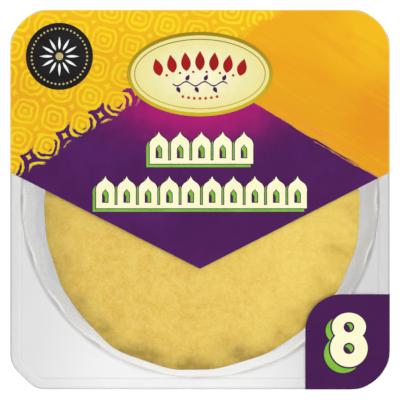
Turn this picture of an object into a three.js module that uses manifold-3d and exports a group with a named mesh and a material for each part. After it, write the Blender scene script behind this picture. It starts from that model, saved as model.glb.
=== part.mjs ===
// A sealed tray pack holding a stack of eight plain papadums.
// Millimetres, +Z up. The origin is on the table under the middle of the pack, +Y is the top of the
// printed lid and +X its right. The tray is a square flange round a fluted round well, the papadums
// lie in the well, and a clear film with printed fields of colour is sealed over the flange.
import * as THREE from "three";
import { mergeVertices } from "three/addons/utils/BufferGeometryUtils.js";
import Module from "manifold-3d";

const wasm = await Module();
wasm.setup();

const DEGREE = Math.PI / 180;

// Tray
const HALF_SIDE = 90; // the pack is 180 mm square
const TRAY_HEIGHT = 38; // table to the top of the seal band
const PLASTIC = 0.7; // thickness of the formed sheet
const CHAMFER = 11.9; // leg of the flange's cut corners
const CHAMFER_ROUND = 7.1; // radius where a cut corner meets a side
const LEAST_ROUND = 5; // the flange's inner outlines have corners at least this round
const BAND_WIDTH = 4.9; // flat band that the film is sealed to
const STEP = 1.0; // drop from the band to the corner platforms
const STEP_RUN = 0.6; // how far that drop leans
const LIP_ROUND = 1.2; // the flange's outer edge turns down over this width
const WELL_TOP = 85; // radius of the well's round rim
const WELL_EDGE = 0.5; // the wall stands this far inside the rim
const WELL_BOTTOM = 80.8; // radius where the wall meets the foot's bevel
const FOOT_BEVEL = 3.4; // the wall turns into the foot over this height
const FOOT_OUTER = 77.4;
const FOOT_INNER = 61;
const PANEL_RADIUS = 58.6; // raised middle of the base
const PANEL_RAISE = 1.6;
const RIBS = 20; // inward flutes round the well
const RIB_DEPTH_TOP = 1.3;
const RIB_DEPTH_BOTTOM = 1.6;
const RIB_NARROWING = 1.3; // over 1 makes the flutes narrower than the bays between them
const RIB_FADE = 3; // they run out this far below the rim

// Papadums, numbered from the bottom of the stack
const PAPADUMS = 8;
const DISC_THICKNESS = 1.2;
const RINGS = [0.5, 0.79, 0.9, 1]; // shares of the radius
const TOP_RINGS = [0.3, 0.55, 0.79, 0.85, 0.91, 1];
const RIM_CORNERS = [
  [6, 75.1], // where the top papadum's rim is pinched out to a blunt corner: degrees, radius
  [22, 75.5],
  [41, 75.2],
  [57, 74.6],
  [75, 75.0],
  [94, 75.7],
  [110, 75.4],
  [129, 74.8],
  [145, 75.2],
  [163, 75.6],
  [176, 75.3],
  [190, 75.1],
  [210, 75.8],
  [222, 76.0],
  [237, 77.4],
  [259, 76.3],
  [272, 75.2],
  [294, 74.1],
  [309.5, 73.8],
  [330, 74.5],
  [348, 75.0],
];
const SIDE_DRAW = 0.45; // how flat the sides between two corners are, from 0 for round to 1 for straight
const TOP_RADIUS = 75.2; // the top papadum's radius on average
const LOWER_RADIUS = 73.2; // the others are a little smaller and more even, so that it hides them
const LOWER_BULGE = 0.35; // share of its unevenness that they have
const DROOP = 1.7; // how far the rim hangs below the middle
const CURL = 1.6; // how much further the edge curls down
const CURL_START = 0.89; // share of the radius where the curl begins
const SADDLE = 0.75;
const LOBE_WAVE = 0.4;
const FLUTE_HEIGHT = 0.9; // the corners are crests this high, and each side between them dips
const FLUTE_WIDTH = 20; // a side this many degrees wide dips as far as the corners rise
const FLUTE_START = 0.79; // share of the radius where the puckers begin
const FLUTE_PEAK = 0.9; // where they are deepest
const FLUTE_AT_EDGE = 0.5; // share of that depth that is left at the edge
const TURN = 47; // degrees that each is turned from the one above it
const RESTING_GAP = 0.6; // least space that is left between two papadums
const BASE_GAP = 0.3; // and under the lowest one
const TOP_SHIFT = new THREE.Vector2(1.1, -5.6); // the stack slid towards the lower edge of the lid
const BOTTOM_SHIFT = new THREE.Vector2(0.1, -0.9);

// Film and print
const FILM = 0.2;
const FILM_CORNER = 19; // radius of the film's corners
const INK = 0.12; // thickness of one printed layer
const WINDOW_SIDE_Y = 13; // where the clear window's slanting edges meet the pack's sides
const WINDOW_MIDDLE_Y = -32.8; // where its two slanting edges meet
const FIELD_CORNERS = [
  [84.5, 10.2], // the dark field's outline above the window, from right to left
  [22.3, 48.1],
  [0, 60],
  [-29.8, 52.4],
];
const BADGE = new THREE.Vector2(0, 59.5);
const BADGE_HALF = new THREE.Vector2(34.5, 20);
const BADGE_RIM = 1.7;
const ROUNDEL = new THREE.Vector2(-66.6, 67.9);
const ROUNDEL_RADIUS = 15.9;
const ARCH_ROWS = [
  { name: "upper", count: 5, centre: new THREE.Vector2(0.7, 17), pitch: 10.08, height: 15.2 },
  { name: "lower", count: 10, centre: new THREE.Vector2(0.7, -4.1), pitch: 10.12, height: 15.2 },
];
const ARCH_SHADOW = new THREE.Vector2(-1.4, -1.4);
const ARCH_BAR = 1.6; // height of the bar that a row of arches stands on
const ARCH_FILL = 0.86; // share of the pitch that an arch takes
const ARCH_SIDE = [
  [1, 0.54], // an arch's right side as shares of its half width and height
  [0.86, 0.72],
  [0.26, 0.86],
];
const ARCH_OPENING = [
  [-0.36, 0.17], // the opening in an arch, in the same shares
  [0.36, 0.17],
  [0.36, 0.46],
  [0, 0.6],
  [-0.36, 0.46],
];
const PATCH_LEFT = 49.9;
const PATCH_TOP = -44.8;
const PATCH_ROUND = 17.5;
const NUMERAL_UPPER = { centre: new THREE.Vector2(70.6, -60.4), halfX: 8.05, halfY: 6.8, hole: 2.55 };
const NUMERAL_LOWER = { centre: new THREE.Vector2(70.6, -70.5), halfX: 8.85, halfY: 8.8, hole: 2.7 };
const NUMERAL_SHADOW = new THREE.Vector2(-2.8, -2.7);

const clamp01 = (x) => Math.min(1, Math.max(0, x));
const smooth = (x) => clamp01(x) ** 2 * (3 - 2 * clamp01(x));
const mix = (a, b, t) => a + (b - a) * t;

// Materials

const clear = (color, opacity) =>
  new THREE.MeshStandardMaterial({ color, roughness: 0.15, metalness: 0, transparent: true, opacity });
const crisp = () => new THREE.MeshStandardMaterial({ color: 0xe6c462, roughness: 0.75, metalness: 0 });
const ink = (color) => new THREE.MeshStandardMaterial({ color, roughness: 0.3, metalness: 0 });
const GOLD = 0xf0b31c;
const PURPLE = 0x54205f;
const CREAM = 0xf6eeb8;
const RIM_YELLOW = 0xd9c21f;
const CHARCOAL = 0x2a2829;
const GREEN = 0x7cc242;
const PALE = 0xfffbd8;

const group = new THREE.Group();

function add(name, geometry, material) {
  const mesh = new THREE.Mesh(geometry, material);
  mesh.name = name;
  group.add(mesh);
  return mesh;
}

// Lofted solids

// A closed skin over loops of equal length, from a first point at its middle to a last point below it.
function loft(first, loops, last) {
  const count = loops[0].length;
  const points = [first, ...loops.flat(), last];
  const index = [];
  const at = (loop, i) => 1 + loop * count + (i % count);
  for (let i = 0; i < count; i++) {
    index.push(0, at(0, i), at(0, i + 1));
    for (let loop = 0; loop + 1 < loops.length; loop++) {
      const [a, b] = [at(loop, i), at(loop, i + 1)];
      const [c, d] = [at(loop + 1, i), at(loop + 1, i + 1)];
      index.push(a, c, d, a, d, b);
    }
    index.push(at(loops.length - 1, i), points.length - 1, at(loops.length - 1, i + 1));
  }
  const geometry = new THREE.BufferGeometry();
  geometry.setAttribute("position", new THREE.Float32BufferAttribute(points.flat(), 3));
  geometry.setIndex(index);
  geometry.computeVertexNormals();
  return geometry;
}

// Tray

// The angles of every loop: even steps, with three in each eighth set on the corner's rounding.
function trayAngles() {
  const eighth = [];
  for (let degrees = 0; degrees < 39; degrees += 3) eighth.push(degrees);
  const tangent = CHAMFER_ROUND * Math.tan(22.5 * DEGREE);
  const centreX = HALF_SIDE - CHAMFER_ROUND;
  const centreY = HALF_SIDE - CHAMFER - tangent;
  for (const turn of [0, 22.5, 45]) {
    const x = centreX + CHAMFER_ROUND * Math.cos(turn * DEGREE);
    const y = centreY + CHAMFER_ROUND * Math.sin(turn * DEGREE);
    eighth.push(Math.atan2(y, x) / DEGREE);
  }
  const quarter = [...eighth, 45, ...eighth.slice(1).map((a) => 90 - a).reverse()];
  return [0, 90, 180, 270].flatMap((start) => quarter.map((a) => (start + a) * DEGREE));
}

// How far the flange's outline, drawn in by inset, lies from the middle at an angle.
function flangeRadius(angle, inset) {
  const half = HALF_SIDE - inset;
  const leg = CHAMFER - inset * (2 - Math.SQRT2);
  const round = Math.max(CHAMFER_ROUND - inset, LEAST_ROUND);
  const turned = angle % (90 * DEGREE);
  const folded = Math.min(turned, 90 * DEGREE - turned);
  const [c, s] = [Math.cos(folded), Math.sin(folded)];
  const arcY = half - leg - round * Math.tan(22.5 * DEGREE);
  const arcX = half - round;
  if ((half / c) * s <= arcY) return half / c;
  const onCut = (2 * half - leg) / (c + s);
  if (onCut * s >= arcY + round * Math.SQRT1_2) return onCut;
  const along = arcX * c + arcY * s;
  return along + Math.sqrt(along ** 2 - arcX ** 2 - arcY ** 2 + round ** 2);
}

// Height of the flange's upper face at a radius: it rises from the corner platforms to the seal band.
function flangeHeight(angle, radius) {
  const foot = flangeRadius(angle, BAND_WIDTH + STEP_RUN);
  const top = flangeRadius(angle, BAND_WIDTH);
  return mix(TRAY_HEIGHT - STEP, TRAY_HEIGHT, clamp01((radius - foot) / (top - foot)));
}

// 1 on the middle of a flute and 0 between two flutes.
const ribShare = (angle) => ((1 + Math.cos(RIBS * angle)) / 2) ** RIB_NARROWING;

// The well's inner radius at a height.
function wellRadius(angle, z) {
  const t = clamp01((z - FOOT_BEVEL) / (TRAY_HEIGHT - STEP - WELL_EDGE - FOOT_BEVEL));
  const depth = mix(RIB_DEPTH_BOTTOM, RIB_DEPTH_TOP, t);
  return mix(WELL_BOTTOM, WELL_TOP - WELL_EDGE, t) - depth * ribShare(angle);
}

function trayGeometry() {
  const angles = trayAngles();
  const loop = (radius, z) =>
    angles.map((a) => [radius(a) * Math.cos(a), radius(a) * Math.sin(a), z]);
  const round = (radius) => () => radius;
  const flange = (inset) => (a) => flangeRadius(a, inset);
  const beyondRim = (inset, gap) => (a) => Math.max(flangeRadius(a, inset), WELL_TOP + gap);
  // A loop on the flange's upper face, or on the lower one, which lies the sheet's thickness under it.
  const shelf = (radius, under) =>
    angles.map((a) => {
      const out = radius(a) + under / 2;
      return [out * Math.cos(a), out * Math.sin(a), flangeHeight(a, radius(a)) - under];
    });
  const ribTop = TRAY_HEIGHT - STEP - RIB_FADE;
  const inside = [
    loop(round(PANEL_RADIUS), PANEL_RAISE + PLASTIC),
    loop(round(FOOT_INNER), PLASTIC),
    loop(round(FOOT_OUTER - PLASTIC), PLASTIC),
    loop((a) => wellRadius(a, FOOT_BEVEL), FOOT_BEVEL + PLASTIC),
    loop((a) => wellRadius(a, ribTop), ribTop),
    shelf(round(WELL_TOP), 0),
    shelf(beyondRim(BAND_WIDTH + STEP_RUN, 0.1), 0),
    shelf(beyondRim(BAND_WIDTH, 0.2), 0),
    loop(flange(LIP_ROUND), TRAY_HEIGHT),
    loop(flange(0), TRAY_HEIGHT - LIP_ROUND),
  ];
  const outside = [
    loop(flange(0), TRAY_HEIGHT - LIP_ROUND - PLASTIC),
    loop(flange(LIP_ROUND + PLASTIC / 2), TRAY_HEIGHT - PLASTIC),
    shelf(beyondRim(BAND_WIDTH, 0.6), PLASTIC),
    shelf(beyondRim(BAND_WIDTH + STEP_RUN, 0.5), PLASTIC),
    shelf(round(WELL_TOP + PLASTIC / 2), PLASTIC),
    loop((a) => wellRadius(a, ribTop) + PLASTIC, ribTop),
    loop((a) => wellRadius(a, FOOT_BEVEL) + PLASTIC, FOOT_BEVEL),
    loop(round(FOOT_OUTER), 0),
    loop(round(FOOT_INNER - PLASTIC), 0),
    loop(round(PANEL_RADIUS - PLASTIC), PANEL_RAISE),
  ];
  return loft([0, 0, PANEL_RAISE + PLASTIC], [...inside, ...outside], [0, 0, PANEL_RAISE]);
}

add("tray", trayGeometry(), clear(0xe6e8ea, 0.3));

// Papadums

// Each papadum is a thin disc whose rim droops and puckers. Down the stack each is turned a little further.
const turnOf = (number) => TURN * DEGREE * (PAPADUMS - number);

const RIM_LOOP = [...RIM_CORNERS, [RIM_CORNERS[0][0] + 360, RIM_CORNERS[0][1]]];

// An angle's place on the rim: the corners' radius there, how wide the side between them is, in degrees,
// and how much of the side's dip is reached, from 0 at a corner to 1 midway.
function rimAt(number, angle) {
  const start = RIM_LOOP[0][0];
  const turned = (angle - turnOf(number)) / DEGREE - start;
  const degrees = (((turned % 360) + 360) % 360) + start;
  const next = RIM_LOOP.findIndex(([at]) => at > degrees);
  const [from, to] = [RIM_LOOP[next - 1], RIM_LOOP[next]];
  const width = to[0] - from[0];
  const t = (degrees - from[0]) / width;
  return { radius: mix(from[1], to[1], smooth(t)), width, dip: (1 - Math.cos(2 * Math.PI * t)) / 2 };
}

function discRadius(number, angle) {
  const { radius, width, dip } = rimAt(number, angle);
  const drawn = radius * (1 - SIDE_DRAW * (1 - Math.cos((width / 2) * DEGREE)) * dip);
  return number === PAPADUMS ? drawn : LOWER_RADIUS + LOWER_BULGE * (drawn - TOP_RADIUS);
}

// Height of a papadum's middle surface over its resting height, at a share of its radius.
function discWave(number, share, angle) {
  const turned = angle - turnOf(number);
  const broad = SADDLE * Math.cos(2 * turned + 1) + LOBE_WAVE * Math.cos(3 * turned - 0.5);
  const inner = smooth((share - FLUTE_START) / (FLUTE_PEAK - FLUTE_START));
  const outer = 1 - (1 - FLUTE_AT_EDGE) * smooth((share - FLUTE_PEAK) / (1 - FLUTE_PEAK));
  const curl = CURL * clamp01((share - CURL_START) / (1 - CURL_START)) ** 1.6;
  const { width, dip } = rimAt(number, angle);
  const flutes = FLUTE_HEIGHT * inner * outer * (1 - (2 * dip * width) / FLUTE_WIDTH);
  return -DROOP * share ** 2.5 - curl + broad * share ** 2 + flutes;
}

function discShift(number) {
  const t = (number - 1) / (PAPADUMS - 1);
  return BOTTOM_SHIFT.clone().lerp(TOP_SHIFT, t);
}

// Height of a papadum's middle surface at a point of the tray's frame, or null beside the papadum.
function discHeightAt(number, x, y) {
  const shift = discShift(number);
  const [dx, dy] = [x - shift.x, y - shift.y];
  const angle = Math.atan2(dy, dx);
  const share = Math.hypot(dx, dy) / discRadius(number, angle);
  return share > 1 ? null : discWave(number, share, angle);
}

// The lowest resting height of each papadum that keeps the gap to the one below, or to the tray's base.
function restingHeights() {
  const heights = [];
  for (let number = 1; number <= PAPADUMS; number++) {
    let lowest = -Infinity;
    for (let radius = 0; radius <= TOP_RADIUS + 3; radius += 1.5)
      for (let degrees = 0; degrees < 360; degrees += 2) {
        const [x, y] = [radius * Math.cos(degrees * DEGREE), radius * Math.sin(degrees * DEGREE)];
        const own = discHeightAt(number, x, y);
        if (own === null) continue;
        const base = PLASTIC + (radius < FOOT_INNER ? PANEL_RAISE : 0) - DISC_THICKNESS / 2;
        const below = number > 1 ? discHeightAt(number - 1, x, y) : base;
        if (below === null) continue;
        const under = number > 1 ? heights[number - 2] + below : below;
        lowest = Math.max(lowest, under - own);
      }
    heights.push(lowest + DISC_THICKNESS + (number > 1 ? RESTING_GAP : BASE_GAP));
  }
  return heights;
}

// The angles of a papadum's loops: its corners and the middles of the sides between them.
function rimAngles(number) {
  const degrees = RIM_CORNERS.flatMap(([at], i) => [at, (at + RIM_LOOP[i + 1][0]) / 2]);
  return degrees.map((at) => at * DEGREE + turnOf(number));
}

function discGeometry(number, rest) {
  const shift = discShift(number);
  const rings = number === PAPADUMS ? TOP_RINGS : RINGS;
  const loop = (share, side) =>
    rimAngles(number).map((angle) => {
      const radius = share * discRadius(number, angle);
      const z = rest + discWave(number, share, angle) + (side * DISC_THICKNESS) / 2;
      return [shift.x + radius * Math.cos(angle), shift.y + radius * Math.sin(angle), z];
    });
  const upper = rings.map((share) => loop(share, 1));
  const lower = rings.map((share) => loop(share, -1)).reverse();
  const middle = (side) => [shift.x, shift.y, rest + (side * DISC_THICKNESS) / 2];
  return loft(middle(1), [...upper, ...lower], middle(-1));
}

restingHeights().forEach((rest, i) => add(`papadum_${i + 1}`, discGeometry(i + 1, rest), crisp()));

// Film and printed fields

// A flat plate of a shape, lying at a height.
function plate(shape, z, thickness, curveSegments = 8) {
  const options = { depth: thickness, bevelEnabled: false, curveSegments };
  const geometry = new THREE.ExtrudeGeometry(shape, options);
  return geometry.translate(0, 0, z);
}

const layer = (number) => TRAY_HEIGHT + FILM + number * INK;

function filmShape() {
  const shape = new THREE.Shape();
  const arc = HALF_SIDE - FILM_CORNER;
  shape.absarc(arc, arc, FILM_CORNER, 0, 90 * DEGREE);
  shape.absarc(-arc, arc, FILM_CORNER, 90 * DEGREE, 180 * DEGREE);
  shape.absarc(-arc, -arc, FILM_CORNER, 180 * DEGREE, 270 * DEGREE);
  shape.absarc(arc, -arc, FILM_CORNER, 270 * DEGREE, 360 * DEGREE);
  return shape;
}

// The printed part of the lid, above the clear window's slanting edges.
function groundShape() {
  const shape = new THREE.Shape();
  const arc = HALF_SIDE - FILM_CORNER;
  shape.moveTo(-HALF_SIDE, WINDOW_SIDE_Y);
  shape.lineTo(0, WINDOW_MIDDLE_Y);
  shape.lineTo(HALF_SIDE, WINDOW_SIDE_Y);
  shape.absarc(arc, arc, FILM_CORNER, 0, 90 * DEGREE);
  shape.absarc(-arc, arc, FILM_CORNER, 90 * DEGREE, 180 * DEGREE);
  return shape;
}

// The dark field between the printed ground and the window.
function fieldShape() {
  const shape = new THREE.Shape();
  shape.moveTo(-HALF_SIDE, WINDOW_SIDE_Y);
  shape.lineTo(0, WINDOW_MIDDLE_Y);
  FIELD_CORNERS.forEach(([x, y]) => shape.lineTo(x, y));
  return shape;
}

function ellipseShape(centre, halfX, halfY) {
  const shape = new THREE.Shape();
  shape.absellipse(centre.x, centre.y, halfX, halfY, 0, 2 * Math.PI);
  return shape;
}

// The corner patch: one corner is the film's own, the opposite one is rounded and the others are square.
function patchShape() {
  const shape = new THREE.Shape();
  const arc = HALF_SIDE - FILM_CORNER;
  shape.moveTo(PATCH_LEFT, -HALF_SIDE);
  shape.lineTo(arc, -HALF_SIDE);
  shape.absarc(arc, -arc, FILM_CORNER, 270 * DEGREE, 360 * DEGREE);
  shape.lineTo(HALF_SIDE, PATCH_TOP);
  shape.absarc(PATCH_LEFT + PATCH_ROUND, PATCH_TOP - PATCH_ROUND, PATCH_ROUND, 90 * DEGREE, 180 * DEGREE);
  return shape;
}

function solidOf(geometry) {
  geometry.deleteAttribute("normal");
  geometry.deleteAttribute("uv");
  const merged = mergeVertices(geometry);
  const mesh = new wasm.Mesh({
    numProp: 3,
    vertProperties: merged.attributes.position.array,
    triVerts: new Uint32Array(merged.index.array),
  });
  return new wasm.Manifold(mesh);
}

function geometryOf(solid) {
  const mesh = solid.getMesh();
  const geometry = new THREE.BufferGeometry();
  geometry.setAttribute("position", new THREE.BufferAttribute(mesh.vertProperties, 3));
  geometry.setIndex(new THREE.BufferAttribute(mesh.triVerts, 1));
  geometry.computeVertexNormals();
  return geometry;
}

// A row of pointed arches on a bar, each with an opening unless the row is a shadow.
function archRowShape({ count, centre, pitch, height }, shift, open) {
  const shape = new THREE.Shape();
  const left = centre.x + shift.x - (count * pitch) / 2;
  const foot = centre.y + shift.y;
  const half = (ARCH_FILL * pitch) / 2;
  const right = [[1, ARCH_BAR / height], ...ARCH_SIDE];
  const outline = [...right, [0, 1], ...right.map(([u, v]) => [-u, v]).reverse()];
  shape.moveTo(left + pitch / 2 - half, foot);
  shape.lineTo(left + (count - 0.5) * pitch + half, foot);
  for (let i = count - 1; i >= 0; i--) {
    const x = left + (i + 0.5) * pitch;
    const place = ([u, v]) => new THREE.Vector2(x + u * half, foot + v * height);
    outline.map(place).forEach((p) => shape.lineTo(p.x, p.y));
    if (open) shape.holes.push(new THREE.Path().setFromPoints(ARCH_OPENING.map(place)));
  }
  return shape;
}

// A plain figure eight: a smaller rounded lobe joined on top of a larger one, each with a round hole.
function numeralGeometry(shift, z) {
  const lobe = ({ centre, halfX, halfY }) => {
    const middle = centre.clone().add(shift);
    return solidOf(plate(ellipseShape(middle, halfX, halfY), z, INK, 12));
  };
  const hole = ({ centre, hole: radius }) => {
    const middle = centre.clone().add(shift);
    return solidOf(plate(ellipseShape(middle, radius, radius), z - INK, 3 * INK, 10));
  };
  const lobes = lobe(NUMERAL_UPPER).add(lobe(NUMERAL_LOWER));
  return geometryOf(lobes.subtract(hole(NUMERAL_UPPER)).subtract(hole(NUMERAL_LOWER)));
}

add("lid_film", plate(filmShape(), TRAY_HEIGHT, FILM), clear(0xffffff, 0.12));
add("print_ground", plate(groundShape(), layer(0), INK), ink(GOLD));
add("print_field", plate(fieldShape(), layer(1), INK), ink(PURPLE));
for (const row of ARCH_ROWS) {
  const shadow = archRowShape(row, ARCH_SHADOW, false);
  const face = archRowShape(row, new THREE.Vector2(), true);
  add(`print_${row.name}_arches_shadow`, plate(shadow, layer(2), INK), ink(GREEN));
  add(`print_${row.name}_arches`, plate(face, layer(3), INK), ink(PALE));
}
const badgeRim = ellipseShape(BADGE, BADGE_HALF.x, BADGE_HALF.y);
const badgeFace = ellipseShape(BADGE, BADGE_HALF.x - BADGE_RIM, BADGE_HALF.y - BADGE_RIM);
const roundel = ellipseShape(ROUNDEL, ROUNDEL_RADIUS, ROUNDEL_RADIUS);
add("print_badge_rim", plate(badgeRim, layer(2), INK, 16), ink(RIM_YELLOW));
add("print_badge", plate(badgeFace, layer(3), INK, 16), ink(CREAM));
add("print_roundel", plate(roundel, layer(1), INK, 16), ink(CHARCOAL));
add("print_patch", plate(patchShape(), layer(0), INK), ink(PURPLE));
add("print_numeral_shadow", numeralGeometry(NUMERAL_SHADOW, layer(1)), ink(GREEN));
add("print_numeral", numeralGeometry(new THREE.Vector2(), layer(2)), ink(PALE));

export default group;
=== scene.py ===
# Looks of a sealed tray pack of eight plain papadums, seen straight from above.
import math

import bpy
import numpy as np
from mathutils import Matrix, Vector
from mathutils.geometry import tessellate_polygon


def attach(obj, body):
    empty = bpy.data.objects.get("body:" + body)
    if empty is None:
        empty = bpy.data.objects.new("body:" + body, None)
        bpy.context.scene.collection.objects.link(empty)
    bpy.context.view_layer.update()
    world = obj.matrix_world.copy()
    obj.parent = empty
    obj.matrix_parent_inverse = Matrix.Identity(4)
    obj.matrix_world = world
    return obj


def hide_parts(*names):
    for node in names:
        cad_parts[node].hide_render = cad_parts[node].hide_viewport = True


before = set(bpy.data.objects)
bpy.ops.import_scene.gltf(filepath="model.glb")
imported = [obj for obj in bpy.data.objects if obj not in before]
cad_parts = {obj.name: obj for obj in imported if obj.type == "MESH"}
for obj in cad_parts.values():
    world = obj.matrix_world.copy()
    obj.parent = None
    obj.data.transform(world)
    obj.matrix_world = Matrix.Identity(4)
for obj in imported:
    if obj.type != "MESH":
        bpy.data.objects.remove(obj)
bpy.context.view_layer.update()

MM = 0.001
DEGREE = math.pi / 180
QUARTER_TURN = np.linspace(0, 90, 8) * DEGREE  # the turns at which a rounded edge has its loops

# Tray, in millimetres, as in the solid model but for its softer edges and rounder corners
HALF_SIDE = 90
TRAY_HEIGHT = 38
PLASTIC = 0.7
CHAMFER = 11.9
CHAMFER_ROUND = 11.1
LEAST_ROUND = 5  # the flange's inner outlines have corners at least this round
BAND_WIDTH = 4.9
STEP = 1.0
STEP_RUN = 0.6
STEP_SOFT = 0.5  # the step's foot and head are rounded off over this much more
LIP_ROUND = 1.2
PLATFORM = TRAY_HEIGHT - STEP
WELL_TOP = 85
WELL_EDGE = 0.5  # the wall stands this far inside the rim
WALL_TOP = PLATFORM - WELL_EDGE
WELL_BOTTOM = 80.8
FOOT_BEVEL = 3.4
FOOT_OUTER = 77.4
FOOT_INNER = 61
PANEL_RADIUS = 58.6
PANEL_RAISE = 1.6
PANEL_SOFT = 1  # the panel's slope is rounded off over this much more at its head and foot
RIBS = 20
RIB_DEPTH_TOP = 1.3
RIB_DEPTH_BOTTOM = 1.6
RIB_NARROWING = 1.3
RIB_FADE = 3  # the flutes run out over this height under the rim

# Tray's mesh and marks
TRAY_POINTS = 480  # in a loop, the bends of the corners aside
PANEL_LOOPS = (15, 30, 45, 54)
FOOT_LOOPS = (65, 70, 74)
FLAT = 0.5  # the width of a flat strip beside a rounded edge
BESIDE_WIDTH = 0.9  # the painted shade beside the well's rim fades out over this width
LOOP_GAP = 0.02  # keeps the loops of the step and of the well's rim apart where they meet
RIM_SHADE = 0.8  # painted shade: how dark the well's rim is drawn, and the flange right beside it
BRINK_SHADE = 0.5
STEP_LIGHT = -0.19  # and painted light: how much clearer the step is drawn

# Papadums, in millimetres, as in the solid model
PAPADUMS = 8
DISC_THICKNESS = 1.2
RIM_CORNERS = [  # degrees and radius of the blunt corners of the top papadum's rim
    (6, 75.1), (22, 75.5), (41, 75.2), (57, 74.6), (75, 75.0), (94, 75.7), (110, 75.4),
    (129, 74.8), (145, 75.2), (163, 75.6), (176, 75.3), (190, 75.1), (210, 75.8), (222, 76.0),
    (237, 77.4), (259, 76.3), (272, 75.2), (294, 74.1), (309.5, 73.8), (330, 74.5), (348, 75.0),
]
SIDE_DRAW = 0.45  # how flat the sides between two corners are, from 0 for round to 1 for straight
TOP_RADIUS = 75.2
LOWER_RADIUS = 73.2
LOWER_BULGE = 0.35  # how much of the top papadum's unevenness the lower ones have
DROOP = 1.7
CURL = 1.6
CURL_START = 0.89
SADDLE = 0.75
LOBE_WAVE = 0.4
FLUTE_HEIGHT = 0.9
FLUTE_WIDTH = 20
FLUTE_START = 0.79
FLUTE_PEAK = 0.9
FLUTE_AT_EDGE = 0.5
TURN = 47  # degrees that each is turned from the one above it
RESTING_GAP = 0.6  # least space that is left between two papadums, and under the lowest one
BASE_GAP = 0.3
TOP_SHIFT = np.array([1.1, -5.6])
BOTTOM_SHIFT = np.array([0.1, -0.9])

# Papadums' looks, in millimetres
TOP_MESH = (84, 480)  # loops on a face, and points in a loop
LOWER_MESH = (30, 220)
LUMPS = ((0.07, 3.1), (0.05, 1.7))  # height and size of the faces' fine relief
RELIEF_FADE = (0.96, 0.03)  # the share of the radius at which it begins to run out, and over how much
BLISTERS = 130
BLISTER_SIZE = (1.3, 3.4)
BLISTER_RISE = (0.05, 0.16)  # height as a share of half the size
DENTS = [  # degrees, share of the radius, length, width and strength of the top papadum's shallow dents, whose painted shade the strength also sets
    (344, 0.885, 15, 7, 0.46), (349, 0.83, 10, 5, 0.2), (329, 0.915, 14, 6.5, 0.46),
    (332, 0.83, 9, 6, 0.18), (2, 0.905, 8, 6.5, 0.34), (312, 0.875, 12, 9, 0.28),
    (302, 0.9, 9, 7, 0.14), (281, 0.865, 9, 13, 0.26),
]
DENT_DEPTH = 0.6  # at a strength of 1
SHADE_SIDE = 255  # degrees at which the top papadum's rim has the most painted shade, on the side turned from the key light
RIM_SHADE_BANDS = ((0.94, 0.06), (0.885, 0.075), (0.78, 0.1))  # start and run of each of the rim's bands of darkening and painted shade, as shares of the radius
DIMPLE_AT = 0.935  # the share of the radius at which the painted shade in the dimples is darkest
DIMPLE_SPREAD = 0.05
# The most painted shade and darkening that a point of a papadum is given
DARKEST_SHADE = 0.85

# Film and print, in millimetres, as in the solid model
FILM = 0.2
FILM_CORNER = 19
INK = 0.12
BADGE = (0, 59.5)
BADGE_HALF = (34.5, 20)
BADGE_RIM = 1.7
ROUNDEL = (-66.6, 67.9)
ROUNDEL_RADIUS = 15.9
ARCH_ROWS = {
    "upper": {"count": 5, "centre": (0.7, 17), "pitch": 10.08, "height": 15.2},
    "lower": {"count": 10, "centre": (0.7, -4.1), "pitch": 10.12, "height": 15.2},
}
ARCH_SHADOW = (-1.4, -1.4)  # how far the arches' shadows are shifted
ARCH_BAR = 1.6
ARCH_FILL = 0.86
NUMERAL_UPPER = {"centre": (70.6, -60.4), "half": (8.05, 6.8), "hole": 2.55}
NUMERAL_LOWER = {"centre": (70.6, -70.5), "half": (8.85, 8.8), "hole": 2.7}
NUMERAL_SHADOW = (-2.8, -2.7)

# Drawing on the print, in millimetres
ARCH_SIDE = [  # an arch's right side as shares of its half width and height
    (1, 0.5), (1.02, 0.57), (0.99, 0.64), (0.9, 0.71), (0.72, 0.775), (0.49, 0.82), (0.3, 0.86),
    (0.15, 0.91), (0.05, 0.96),
]
ARCH_TIP = (0, 1)
TIP_GROWTH = 1.3  # an arch's tip is drawn out by this much of what it grows all round
OPENING_SIDE = [  # and of the opening in it
    (0.36, 0.17), (0.36, 0.42), (0.35, 0.46), (0.3, 0.5), (0.2, 0.53), (0.1, 0.56), (0.03, 0.59),
]
OPENING_TIP = (0, 0.615)
OPENING_MIDDLE = 0.39
OUTLINE = 0.42  # dark line round the pale shapes
NUMERAL_OUTLINE = 0.8
ARCH_SHADOW_GROWTH = (0.2, 0.3)  # how much a shadow is larger all round, and its openings smaller
NUMERAL_SHADOW_GROWTH = (0.1, -1)
SHADOW_RISE = 1  # the numeral's shadow is this much higher at its upper lobe
PETAL_POINTS = 12  # on each side of a petal
LATTICE_CELL = 13.9
LATTICE_TURN = -14
LATTICE_RINGS = (2.9, 5.4)  # half sides of the rounded squares in a cell
LATTICE_DOT = 1.0
LATTICE_LINE = 1.15
LEFT_EDGE = ((-90, 13), (-29.8, 52.4))  # the dark field's upper edges
RIGHT_EDGE = ((22.3, 48.1), (84.5, 10.2))
BRUSHED = -31  # degrees that the brush strokes run at

# Ornaments of the badge and the roundel, in millimetres from their middles
RING_INSET = 3.3
RING_WIDTH = 0.5
FLAMES = {
    "pitch": 6.3, "height": 1.6, "rise": -0.28, "length": 9.4, "width": 4.6, "lean": 5, "shrink": 0.3,
}
BEAD_ROW = {"pitch": 6.3, "height": 1.1, "rise": -0.28, "radius": 0.6}
DOT_ROW = {"pitch": 2.7, "height": -11.6, "rise": 0.1, "radius": 0.7}
VINE = {"reach": 13, "height": -4.6, "wave": 8.7, "half": 0.34}
LEAF = {"count": 6, "first": -10.9, "pitch": 4.35, "off": 0.5, "length": 3.2, "width": 1.9, "lean": 62}
BEAD_RING = {"radius": 13.2, "count": 44, "bead": 0.47}
PETALS = {"count": 12, "length": 6.2, "width": 1.15, "start": 3.2}
HEART_RADIUS = 1.8

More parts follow.
